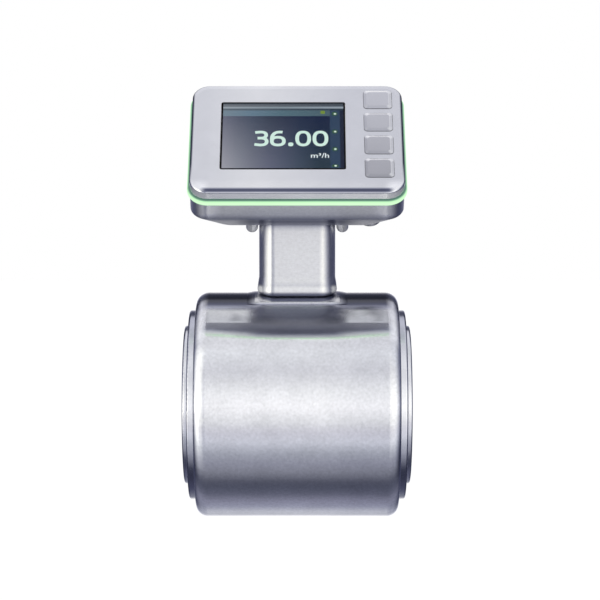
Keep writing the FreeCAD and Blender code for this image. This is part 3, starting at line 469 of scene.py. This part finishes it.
def housing_steel(colour, roughness):
    """Blasted and brushed casting: what it mirrors is drawn out upwards. Shade and light are painted in by
    height and by distance from the middle, and it is less metal under the head's flanks and at the neck's
    foot, so diffuse light paints them lighter.
    """
    material, nodes = new_material("housing_steel")
    x, _, z = nodes.split(nodes.place())
    fine = nodes.noise(nodes.scaled(nodes.place(), (500.0, 3000.0, 3000.0)), *GRAIN_NOISE)
    mottle = nodes.noise(nodes.place(), *MOTTLE_NOISE)
    surface = nodes.mottled(nodes.blend(fine, mottle, 0.5), colour, 0.88, 1.08)
    away = nodes.maths("ABSOLUTE", x)
    # Painted shade and light by height: dark at the neck's foot and where the neck meets the head, a bright
    # band just above the foot, and the head's flanks painted lighter.
    middle = nodes.levels(z, [(55.0, 0.22), (57.2, 0.26), (58.4, 1.1), (60.0, 1.15), (61.5, 0.95),
                              (63.5, 1.08), (88.5, 1.08), (90.0, 0.95), (91.5, 0.60), (93.5, 0.20),
                              (95.0, 0.38), (97.2, 0.90), (102.0, 1.12), (125.0, 1.0), (160.0, 0.95)])
    beside = nodes.levels(z, [(55.0, 0.9), (93.0, 1.05), (94.2, 0.9), (94.9, 0.45), (96.2, 0.70),
                              (98.0, 1.0), (102.0, 1.12), (125.0, 0.95), (160.0, 0.95)])
    painted_shade = nodes.mix(nodes.rising(away, 21*MM, 34*MM), middle, beside)
    flank = nodes.remap(away, 36*MM, 46*MM, 1.0, 1.5, smooth=True)
    lift = nodes.mix(nodes.remap(z, 95.5*MM, 97.5*MM), grey(1.0), nodes.vector(flank, flank, flank))
    # Less metal under the head's flanks and at the neck's foot corners, so diffuse light paints them lighter.
    under = nodes.product(nodes.rising(away, 22*MM, 28*MM), nodes.remap(z, 95.2*MM, 94.2*MM),
                          nodes.remap(z, 80*MM, 85*MM, 0.0, 0.7))
    foot = nodes.product(nodes.remap(away, 16.5*MM, 18.0*MM), nodes.remap(z, 57.4*MM, 58.2*MM),
                         nodes.remap(z, 62.0*MM, 60.5*MM, 0.0, 0.95))
    principled(nodes, Base_Color=nodes.toned(surface, painted_shade, lift),
               Metallic=nodes.rest(nodes.maths("MAXIMUM", under, foot)), Anisotropic=0.9,
               Roughness=nodes.wavering(fine, roughness, 0.1),
               Normal=nodes.bump(mottle, 0.008*MM), Tangent=nodes.vector(*CASTING_GRAIN))
    return material


# ------------------------------------------------------------------ plastics, rubber and the rest

def moulded(name, colour, roughness, speck=0.08):
    """Moulded plastic or rubber with a fine spark-eroded texture."""
    material, nodes = new_material(name)
    fine = nodes.noise(nodes.place(), 2600.0, 2.0)
    cloud = nodes.noise(nodes.place(), 120.0, 2.0)
    surface = nodes.ramp(nodes.blend(fine, cloud, 0.5),
                         [(0.3, shade(colour, 1 - speck)), (0.7, shade(colour, 1 + speck))])
    principled(nodes, Base_Color=surface, Roughness=nodes.wavering(cloud, roughness, 0.1),
               Normal=nodes.bump(fine, 0.02*MM, 0.25))
    return material


def board_lacquer():
    """Circuit board with faint tracks under green lacquer."""
    material, nodes = new_material("board_lacquer")
    brick = nodes.add("ShaderNodeTexBrick")
    nodes.link(nodes.place(), brick.inputs["Vector"])
    brick.inputs["Scale"].default_value = 260.0
    tracks = nodes.mix(brick.outputs["Fac"], (0.012, 0.10, 0.045, 1), (0.03, 0.20, 0.09, 1))
    principled(nodes, Base_Color=tracks, Roughness=0.35, Coat_Weight=0.4)
    return material


def wound_wire():
    """Enamelled copper in fine turns."""
    material, nodes = new_material("wound_wire")
    height = nodes.split(nodes.place())[2]
    turns = nodes.remap(nodes.maths("SINE", nodes.product(height, 9000.0)), -1.0, 1.0)
    surface = nodes.ramp(turns, [(0.0, (0.25, 0.09, 0.03)), (1.0, (0.62, 0.27, 0.11))])
    principled(nodes, Base_Color=surface, Metallic=0.8, Roughness=0.35,
               Normal=nodes.bump(turns, 0.05*MM, 0.6))
    return material


def lit_ring():
    """Translucent ring lit from inside: pale green, a little deeper towards its edges."""
    material, nodes = new_material("lit_ring")
    low, high = head_box("light_ring")
    across = nodes.remap(nodes.along(HEAD_N), low.z, high.z)
    stops = [(0.0, "a9d8ab"), (0.2, "cdf8ca"), (0.5, "d9ffd3"), (0.86, "c8f6c4"), (0.96, "8fb89c"),
             (1.0, "4f6668")]
    glow = nodes.ramp(across, [(position, linear(code)) for position, code in stops], "EASE")
    cloud = nodes.noise(nodes.place(), 60.0, 2.0)
    principled(nodes, Base_Color=(0.05, 0.16, 0.05, 1), Roughness=0.5, Emission_Color=glow,
               Emission_Strength=nodes.remap(cloud, 0.3, 0.7, 0.94, 1.02))
    return material


def clear_glass():
    """Thin window glass, faintly uneven."""
    material, nodes = new_material("clear_glass")
    cloud = nodes.noise(nodes.place(), 40.0, 2.0)
    principled(nodes, Base_Color=(0.98, 0.99, 1.0, 1), Transmission_Weight=1.0, IOR=1.12,
               Roughness=nodes.remap(cloud, 0.3, 0.7, 0.02, 0.05))
    return material


def build_materials():
    """Every material, by the name of its slot in the record."""
    steel = (0.80, 0.80, 0.815)
    return {
        "drum_steel": turned_steel("drum_steel", (0.89, 0.89, 0.90), 0.21, 1.8, shading=drum_shading,
                                   tilt=drum_tilt, painted_lift=drum_painted_lift),
        "disc_steel": turned_steel("disc_steel", (0.93, 0.93, 0.945), 0.22, 0.7, 0.6, shading=disc_shading),
        "tube_steel": turned_steel("tube_steel", (0.70, 0.70, 0.71), 0.35),
        "liner_plastic": moulded("liner_plastic", (0.82, 0.81, 0.77), 0.38, 0.02),
        "electrode_alloy": satin_steel("electrode_alloy", (0.62, 0.60, 0.57), 0.3),
        "sleeve_plastic": moulded("sleeve_plastic", (0.78, 0.77, 0.70), 0.4, 0.03),
        "pole_iron": satin_steel("pole_iron", (0.35, 0.35, 0.36), 0.45),
        "coil_wire": wound_wire(),
        "potting": moulded("potting", (0.02, 0.02, 0.024), 0.3),
        "loom_sheath": moulded("loom_sheath", (0.04, 0.04, 0.045), 0.5),
        "housing_steel": housing_steel(steel, 0.34),
        "bezel_steel": bezel_steel(steel, 0.20),
        "key_steel": key_steel(steel, 0.22),
        "ring_light": lit_ring(),
        "gasket_rubber": moulded("gasket_rubber", (0.012, 0.012, 0.014), 0.6),
        "window_glass": clear_glass(),
        "panel_glass": moulded("panel_glass", (0.01, 0.01, 0.014), 0.12),
        "holder_plastic": moulded("holder_plastic", (0.012, 0.012, 0.013), 0.5),
        "board_green": board_lacquer(),
        "switch_plastic": moulded("switch_plastic", (0.02, 0.02, 0.022), 0.45),
        "lamp_plastic": moulded("lamp_plastic", (0.85, 0.80, 0.55), 0.3),
        "module_black": moulded("module_black", (0.015, 0.015, 0.017), 0.45),
        "standoff_steel": satin_steel("standoff_steel", (0.68, 0.68, 0.69), 0.3),
        "screw_steel": satin_steel("screw_steel", (0.88, 0.88, 0.89), 0.22, (2000.0, 2000.0, 2000.0), 0.6,
                                   0.45),
        "washer_rubber": moulded("washer_rubber", (0.02, 0.02, 0.03), 0.6),
        "socket_steel": thread_steel((0.72, 0.72, 0.73), 0.24),
        "insert_plastic": moulded("insert_plastic", (0.01, 0.01, 0.01), 0.5),
        "contact_gold": satin_steel("contact_gold", (0.95, 0.70, 0.30), 0.2),
    }


def dress_nodes(materials):
    """Give every CAD node the material of its slot in the record."""
    for subpart in frame["record"]["subparts"]:
        node = NODES[subpart["node"]]
        for slot in node.material_slots:
            slot.material = materials[subpart["material_slot"]]
        if not node.material_slots:
            node.data.materials.append(materials[subpart["material_slot"]])


# ------------------------------------------------------------------ display picture

PICTURE_DEPTH = 0.3*MM       # how far behind the glass's front the picture shows
PICTURE_STEP = 0.02*MM       # how far each layer of the picture lies above the one below
BORDER = 0.9*MM              # dark mask left round the picture
BAR_TOP = 5.6*MM             # the status bar's edges, down from the window's top
BAR_BASE = 9.7*MM
COLUMN_REACH = (54.6*MM, 59.6*MM)   # the key column's edges, from the window's left
GROUND_BASE = 1.0*MM         # the ground's lower edge, above the window's bottom
GROUND_FADE = 37.0*MM        # height over which the ground turns from its lower to its upper colours

STROKE = 1.85*MM
DIGIT_HALF = (3.0*MM, 4.6*MM)
DIGIT_LINE = 21.8*MM         # height of the digits' middle above the window's bottom
DIGITS_END = 53.7*MM         # right end of the reading, from the window's left
DIGITS_BACK = (29.7*MM, 21.2*MM, 8.6*MM, 0.0)       # how far each digit stands back from the last one
POINT = (35.0*MM, 0.45*MM)   # the point's middle, from the window's left and the digits' foot
POINT_HALF = (1.3*MM, 1.35*MM)
UNIT_BOX = ((45.0*MM, 8.1*MM), (54.0*MM, 11.5*MM))  # the unit's corners, from the window's lower left
FLAG_PLACE = (49.9*MM, 1.6*MM)      # the flag's corner, from the window's left and the bar's lower edge
FLAG_SIDE = 2.3*MM
FLAG_CORNER = 0.6*MM

SYMBOL_ACROSS = 57.0*MM      # places from the window's left and above its bottom
SYMBOL_HEIGHTS = (39.5*MM, 26.7*MM, 14.3*MM, 2.6*MM)
SYMBOL_HALF = (0.62*MM, 0.62*MM)
SYMBOL_SHIFT = 0.2*MM
GLOW_HALF = (1.5*MM, 1.5*MM)
LOWEST_GLOW_HALF = (1.8*MM, 1.0*MM)

# Lit bands above the status bar that paint the shadow of the window's edge and its reflections: start and end
# down from the window's top, and colours from left to right.
BANDS = {"edge_dark": (0.5*MM, 1.3*MM, ("434a50", "3c434b", "373e46")),
         "edge_line": (1.3*MM, 2.1*MM, ("757b85", "60666f", "49515b")),
         "edge_gap": (2.1*MM, 2.8*MM, ("5c6167", "4e555d", "3f4752")),
         "edge_bright": (2.8*MM, 4.2*MM, ("959ea7", "7e8b94", "919ca8")),
         "edge_shade": (4.2*MM, 5.6*MM, ("5e6872", "44505b", "2a3642"))}
BAR_CODES = ("748591", "62798a", "516b77", "4b626d", "44565f")
DUSK_SPOTS = (0.03, 0.15, 0.29, 0.43, 0.6, 0.75, 0.9)
DUSK_UPPER = ("656879", "555a6b", "454d5f", "373f50", "2c3449", "212c45", "18233f")
DUSK_LOWER = ("9a9aa4", "888b96", "747785", "63677a", "50576a", "3c4858", "2b3a46")


def lit_picture(name, colour):
    """A lit part of the display picture, with the faint unevenness of its dots.

    The colour is one code, or a function that builds a colour from the node tree.
    """
    material, nodes = new_material(name)
    glow = colour(nodes) if callable(colour) else (*linear(colour), 1)
    grid = nodes.noise(nodes.place(), 9000.0, 1.0)
    principled(nodes, Base_Color=(0.004, 0.004, 0.005, 1), Roughness=0.5, Specular_IOR_Level=0.0,
               Emission_Color=glow, Emission_Strength=nodes.wavering(grid, 1.0, 0.03))
    return material


def coded_ramp(nodes, position, spots, codes):
    return nodes.ramp(position, [(spot, linear(code)) for spot, code in zip(spots, codes)])


def across_window(codes):
    """A row of colours spread evenly from the window's left edge to its right."""
    low, high = head_box("display_window")
    spots = [index/(len(codes) - 1) for index in range(len(codes))]

    def colour(nodes):
        return coded_ramp(nodes, nodes.remap(nodes.along(HEAD_U), low.x, high.x), spots, codes)
    return colour


def dusk(nodes):
    """Grey at the lower left, deep blue towards the upper right."""
    low = head_box("display_window")[0]
    position = nodes.remap(nodes.along(HEAD_U), low.x, low.x + COLUMN_REACH[0])
    rise = nodes.remap(nodes.along(HEAD_V), low.y, low.y + GROUND_FADE)
    return nodes.mix(rise, coded_ramp(nodes, position, DUSK_SPOTS, DUSK_LOWER),
                     coded_ramp(nodes, position, DUSK_SPOTS, DUSK_UPPER))


def new_shape(name, spots, faces, material):
    mesh = bpy.data.meshes.new(name)
    mesh.from_pydata(spots, [], faces)
    mesh.materials.append(material)
    thing = bpy.data.objects.new(name, mesh)
    bpy.context.scene.collection.objects.link(thing)
    return thing


def flat_shape(name, outline, n, material):
    """A flat shape on the display through (u, v) corners."""
    return new_shape(name, [head_point(u, v, n) for u, v in outline], [range(len(outline))], material)


def flat_quad(name, low, high, n, material, corner=0.0, steps=6):
    """A thin flat rectangle on the display between two (u, v) corners, its corners rounded."""
    outline = []
    for index, (sign_u, sign_v) in enumerate(((1, -1), (1, 1), (-1, 1), (-1, -1))):
        centre_u = (high[0] - corner) if sign_u > 0 else (low[0] + corner)
        centre_v = (high[1] - corner) if sign_v > 0 else (low[1] + corner)
        for step in range(steps + 1 if corner else 1):
            turn = math.pi/2*(index - 1 + step/steps)
            outline.append((centre_u + corner*math.cos(turn), centre_v + corner*math.sin(turn)))
    return flat_shape(name, outline, n, material)


def ribbon(name, paths, n, width, material):
    """Flat strokes of one width along paths of (u, v) spots."""
    spots = []
    faces = []
    for path in paths:
        first = len(spots)
        for index, here in enumerate(path):
            before, after = path[max(index - 1, 0)], path[min(index + 1, len(path) - 1)]
            run = Vector(after) - Vector(before)
            side = Vector((-run.y, run.x)).normalized()*width/2
            for edge in (Vector(here) + side, Vector(here) - side):
                spots.append(head_point(edge.x, edge.y, n))
        faces += [(first + 2*index, first + 2*index + 1, first + 2*index + 3, first + 2*index + 2)
                  for index in range(len(path) - 1)]
    return new_shape(name, spots, faces, material)


def arc(centre, reach, start, end, steps=28, squareness=2.4):
    """Spots along a rounded-square arc round a centre, between two angles in degrees."""
    spots = []
    for step in range(steps + 1):
        turn = math.radians(start + (end - start)*step/steps)
        across, up = math.cos(turn), math.sin(turn)
        spots.append((centre[0] + reach[0]*math.copysign(abs(across)**(2/squareness), across),
                      centre[1] + reach[1]*math.copysign(abs(up)**(2/squareness), up)))
    return spots


def blob(name, centre, reach, n, material, squareness=2.0):
    """A flat round shape; with more squareness its sides grow flatter."""
    return flat_shape(name, arc(centre, reach, 0, 345, 23, squareness), n, material)


def digit_paths(digit, u, v):
    """Centre lines of a digit's strokes round its middle (u, v)."""
    wide, tall = DIGIT_HALF
    if digit == "0":
        return [arc((u, v), (wide, tall), 0, 360, 48)]
    if digit == "6":
        bowl = arc((u, v - 0.40*tall), (wide, 0.60*tall), 0, 360, 40)
        tail = arc((u + 0.35*wide, v - 0.10*tall), (1.35*wide, 1.10*tall), 76, 186, 28)
        return [bowl, tail]
    upper = [(u - 0.95*wide, v + 0.93*tall)]
    upper += arc((u - 0.05*wide, v + 0.53*tall), (0.92*wide, 0.47*tall), 95, -88)
    lower = arc((u - 0.05*wide, v - 0.47*tall), (1.02*wide, 0.53*tall), 88, -95)
    lower.append((u - 1.05*wide, v - 0.90*tall))
    middle = [(u - 0.55*wide, v + 0.06*tall), (u + 0.05*wide, v + 0.06*tall)]
    return [upper, lower, middle]


def display_text(name, words, low, high, n, material):
    """Flat words that fill a (u, v) rectangle."""
    curve = bpy.data.curves.new(name, "FONT")
    curve.body = words
    curve.offset = 0.012
    curve.materials.append(material)
    thing = bpy.data.objects.new(name, curve)
    bpy.context.scene.collection.objects.link(thing)
    bpy.context.view_layer.update()
    corners = [Vector(corner) for corner in thing.bound_box]
    near = [min(corner[axis] for corner in corners) for axis in (0, 1)]
    far = [max(corner[axis] for corner in corners) for axis in (0, 1)]
    scale = [(high[axis] - low[axis])/(far[axis] - near[axis]) for axis in (0, 1)]
    thing.matrix_world = (head_matrix(low[0] - near[0]*scale[0], low[1] - near[1]*scale[1], n)
                          @ Matrix.Diagonal((scale[0], scale[1], 1.0, 1.0)))
    return thing


def display_grounds():
    """The picture's mask, its lit bands of painted edge shadow and reflection, status bar, ground and key
    column.
    """
    low, high = head_box("display_window")
    left, right, bottom, top = low.x + BORDER, high.x - BORDER, low.y + GROUND_BASE, high.y
    column, column_end = [low.x + reach for reach in COLUMN_REACH]
    bar, bar_top = top - BAR_BASE, top - BAR_TOP
    n = high.z - PICTURE_DEPTH
    pieces = [flat_quad("display_mask", low.xy, high.xy, n, lit_picture("display_mask", "0a0808"))]
    panes = [(name, left, top - end, right, top - start, across_window(codes))
             for name, (start, end, codes) in BANDS.items()]
    panes += [("ground", left, bottom, column, bar, dusk),
              ("bar", left, bar, column, bar_top, across_window(BAR_CODES)),
              ("column", column, bottom, column_end, bar_top, "30425a"),
              ("side", column_end, bottom, right, bar_top, "22273a")]
    for name, start_u, start_v, end_u, end_v, colour in panes:
        pieces.append(flat_quad(f"display_{name}", (start_u, start_v), (end_u, end_v), n + PICTURE_STEP,
                                lit_picture(f"display_{name}", colour)))
    return pieces


def display_reading(n):
    """The reading with its point, its unit and the flag in the status bar."""
    low, high = head_box("display_window")
    digits = lit_picture("display_digits", "cfe9de")
    middle = low.y + DIGIT_LINE
    last = low.x + DIGITS_END - DIGIT_HALF[0] - STROKE/2
    pieces = []
    for index, (digit, back) in enumerate(zip("3600", DIGITS_BACK)):
        pieces.append(ribbon(f"display_digit_{index}", digit_paths(digit, last - back, middle),
                             n + index*PICTURE_STEP/8, STROKE, digits))
    point = (low.x + POINT[0], middle - DIGIT_HALF[1] + POINT[1])
    pieces.append(blob("display_point", point, POINT_HALF, n, digits, 2.6))
    near, far = [(low.x + u, low.y + v) for u, v in UNIT_BOX]
    pieces.append(display_text("display_unit", "m³/h", near, far, n, lit_picture("display_unit", "dfe8ea")))
    flag = (low.x + FLAG_PLACE[0], high.y - BAR_BASE + FLAG_PLACE[1])
    pieces.append(flat_quad("display_flag", flag, (flag[0] + FLAG_SIDE, flag[1] + FLAG_SIDE), n,
                            lit_picture("display_flag", "6f8a3a"), FLAG_CORNER))
    return pieces


def display_symbols(n):
    """A small bright symbol with a dim glow beside each key."""
    low = head_box("display_window")[0]
    glow = lit_picture("display_glow", "35563f")
    bright = lit_picture("display_symbols", "cfe0d6")
    u = low.x + SYMBOL_ACROSS
    pieces = []
    for index, height in enumerate(SYMBOL_HEIGHTS, start=1):
        v = low.y + height
        reach = GLOW_HALF if index < len(SYMBOL_HEIGHTS) else LOWEST_GLOW_HALF
        pieces.append(blob(f"display_glow_{index}", (u, v), reach, n, glow))
        pieces.append(blob(f"display_symbol_{index}", (u + SYMBOL_SHIFT, v), SYMBOL_HALF,
                           n + PICTURE_STEP, bright))
    return pieces


def display_picture():
    """What the display shows: a status bar, a key column, a reading and its unit, with lit bands above the
    bar that paint the window edge's shadow and reflections.
    """
    face = head_box("display_window")[1].z - PICTURE_DEPTH + 2*PICTURE_STEP
    for piece in display_grounds() + display_reading(face) + display_symbols(face):
        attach(piece, "meter")


# ------------------------------------------------------------------ studio

# Brightness of the room by the angle round the flow axis, from straight in front over the top.
ROOM_HEIGHTS = [(-180, "f2f2f4"), (-162, "dcdce2"), (-148, "9a9ca8"), (-136, "a4a6b2"), (-122, "86889a"),
                (-112, "797a8c"), (-98, "535565"), (-88, "454857"), (-80, "484a58"), (-68, "71737f"),
                (-56, "848694"), (-44, "9a9da8"), (-33, "c0c2cc"), (-23, "bebec7"), (-12, "d4d5d8"),
                (3, "ececee"), (18, "e0e1e3"), (29, "d0d1d5"), (40, "c3c4ca"), (60, "ccced3"),
                (70, "c9cacf"), (84, "c6c7cc"), (93, "d2d3d8"), (104, "dcdde2"), (124, "e6e6ea"),
                (138, "d8d8de"), (143, "4a4c5a"), (158, "444758"), (166, "808090"), (174, "e8e8ee"),
                (180, "f2f2f4")]
# How much brighter the room is by the angle to the right of straight in front.
ROOM_GAINS = [(-180, 1.3), (-168, 0.7), (-152, 0.12), (-100, 0.14), (-88, 0.3), (-76, 0.9), (-60, 1.3),
              (-48, 1.6), (-36, 1.95), (-31, 1.7), (-25, 0.7), (-19, 0.45), (-13, 0.52), (-7, 0.90),
              (0, 0.98), (8, 1.0), (15, 1.2), (24, 1.4), (42, 1.0), (60, 0.5), (76, 0.22), (100, 0.13),
              (152, 0.12), (168, 0.7), (180, 1.3)]
GAIN_SCALE = 0.5             # keeps the gains under one in their ramp
ROOM_STRENGTH = 2.75

FLOOR_SIZE = 3.0
FLOOR_BACK = 0.3             # share of its size by which the floor lies behind the meter
FLOOR_GAP = 0.2*MM
FLOOR_GLOW = 1.05
FLOOR_GLOW_SHARE = 0.97

CAMERA_DISTANCE = 1.1985
CAMERA_RISE = math.radians(3.31)
CAMERA_TARGET = Vector((1.4*MM, 0, 53.2*MM))
CAMERA_LENS = 141.5


def turn_ramp(nodes, angle, stops):
    """Colour by an angle, through (degrees, linear colour) stops from -180 to 180."""
    return nodes.ramp(nodes.remap(angle, -math.pi, math.pi),
                      [((degrees + 180)/360, colour) for degrees, colour in stops])


def room_light(nodes):
    """A soft studio, brightest in front. Straight up and down the gains fade out."""
    x, y, z = nodes.split(nodes.add("ShaderNodeTexCoord").outputs["Generated"])
    front = nodes.product(y, -1.0)
    rise = nodes.maths("ARCTAN2", z, front)
    around = nodes.maths("ARCTAN2", x, front)
    level = nodes.maths("SQRT", nodes.maths("ADD", nodes.product(x, x), nodes.product(y, y)))
    tall = turn_ramp(nodes, rise, [(degrees, linear(code)) for degrees, code in ROOM_HEIGHTS])
    wide = turn_ramp(nodes, around,
                     [(degrees, shade(cool(gain), GAIN_SCALE)) for degrees, gain in ROOM_GAINS])
    gain = nodes.mix(nodes.rising(level, 0.35, 0.85), grey(GAIN_SCALE), wide)
    return nodes.toned(tall, gain)


def show(nodes, share, first, second, output_kind):
    """Send a mix of two shaders to the tree's output, the share being that of the second."""
    mixed = nodes.add("ShaderNodeMixShader")
    nodes.feed(mixed.inputs[0], share)
    nodes.link(first.outputs[0], mixed.inputs[1])
    nodes.link(second.outputs[0], mixed.inputs[2])
    output = nodes.add(output_kind)
    nodes.link(mixed.outputs[0], output.inputs["Surface"])


def studio_world():
    """White to the camera; to everything else the soft studio."""
    world = bpy.data.worlds.new("studio")
    bpy.context.scene.world = world
    world.use_nodes = True
    nodes = Nodes(world.node_tree)
    path = nodes.add("ShaderNodeLightPath")
    seen = nodes.add("ShaderNodeBackground")
    seen.inputs["Color"].default_value = (1, 1, 1, 1)
    seen.inputs["Strength"].default_value = 1.0
    room = nodes.add("ShaderNodeBackground")
    nodes.link(room_light(nodes), room.inputs["Color"])
    room.inputs["Strength"].default_value = ROOM_STRENGTH
    shown = nodes.maths("MAXIMUM", path.outputs["Is Camera Ray"], path.outputs["Is Transmission Ray"])
    show(nodes, shown, room, seen, "ShaderNodeOutputWorld")


def studio_floor():
    """Pale floor just under the drum, white to the camera."""
    ground = CAD_BOX[0][2] - FLOOR_GAP
    bpy.ops.mesh.primitive_plane_add(size=FLOOR_SIZE, location=(0, FLOOR_SIZE*FLOOR_BACK, ground))
    floor = bpy.context.object
    floor.name = "floor"
    material, nodes = new_material("floor")
    diffuse = nodes.add("ShaderNodeBsdfDiffuse")
    diffuse.inputs["Color"].default_value = grey(0.9)
    glow = nodes.add("ShaderNodeEmission")
    glow.inputs["Strength"].default_value = FLOOR_GLOW
    show(nodes, FLOOR_GLOW_SHARE, diffuse, glow, "ShaderNodeOutputMaterial")
    floor.data.materials.append(material)
    floor.visible_glossy = False
    floor.visible_diffuse = False


def studio_camera():
    """Long lens, a little above the flow axis, aimed between drum and head."""
    data = bpy.data.cameras.new("camera")
    data.sensor_width = 36.0
    data.lens = CAMERA_LENS
    data.clip_start = 0.01
    camera = bpy.data.objects.new("camera", data)
    bpy.context.scene.collection.objects.link(camera)
    towards = Vector((0, -math.cos(CAMERA_RISE), math.sin(CAMERA_RISE)))
    camera.location = CAMERA_TARGET + towards*CAMERA_DISTANCE
    camera.rotation_euler = (math.pi/2 - CAMERA_RISE, 0, 0)
    bpy.context.scene.camera = camera


dress_nodes(build_materials())
display_picture()
studio_world()
studio_floor()
studio_camera()
bpy.context.scene.view_settings.view_transform = "Standard"
